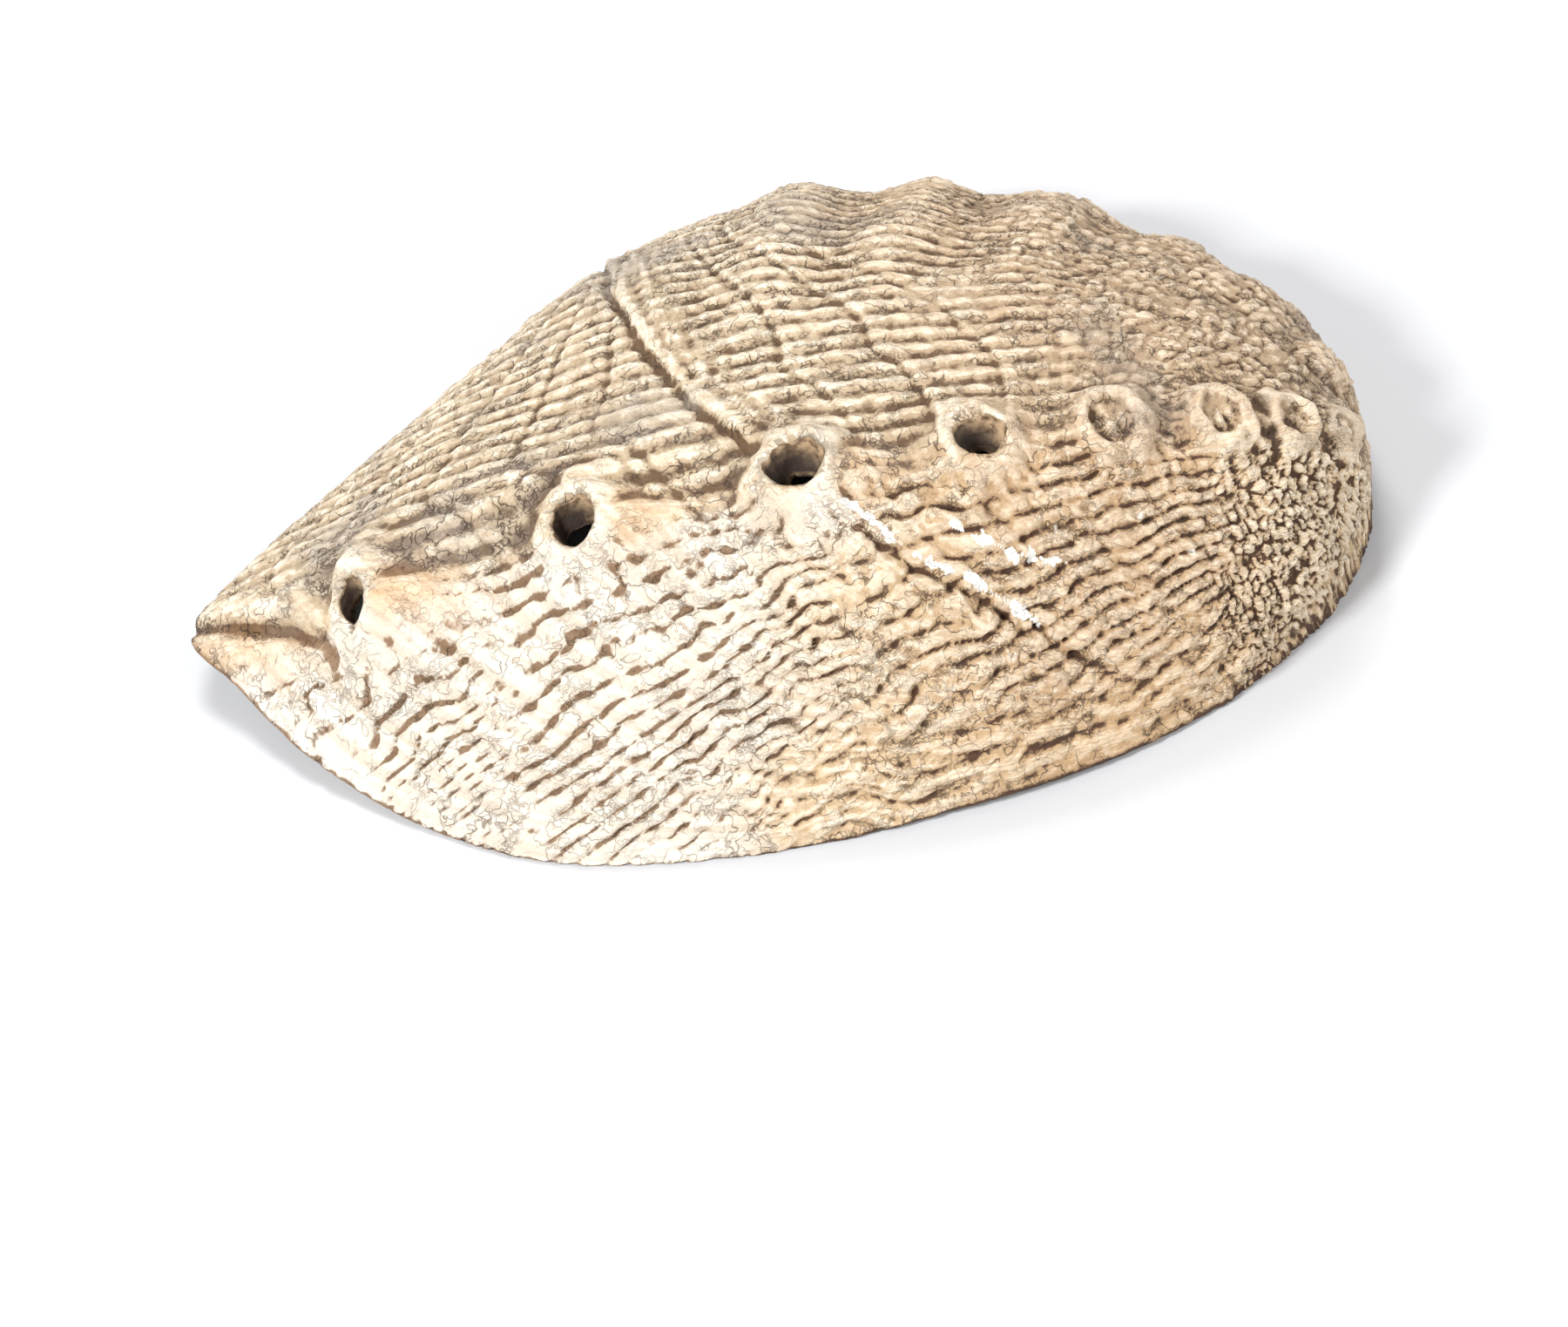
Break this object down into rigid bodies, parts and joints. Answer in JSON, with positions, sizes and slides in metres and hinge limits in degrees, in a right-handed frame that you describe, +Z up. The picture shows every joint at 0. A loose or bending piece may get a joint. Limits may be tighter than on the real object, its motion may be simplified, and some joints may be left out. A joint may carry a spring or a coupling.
{
  "type": "abalone shell",
  "caption": "Ear-shaped natural seashell: a low domed cup, open underneath, with a curved row of raised breathing tubes and a small spire at one end.",
  "frame": {"origin": "middle of the shell's box in plan, on the surface that it rests on", "axes": "+Z up, away from the mouth; +X along the length, from the growing edge to the spire; +Y from the steep side with the tubes to the broad side"},
  "size_m": [0.12, 0.087, 0.0296],
  "materials": {
    "shell": "weathered, ribbed and pebbled lime shell, cream on the worn crests, tan to grey-brown in the grooves, matte to satin; smooth satin nacre inside"
  },
  "bodies": {
    "root": {"shell": "shell"}
  },
  "joints": []
}
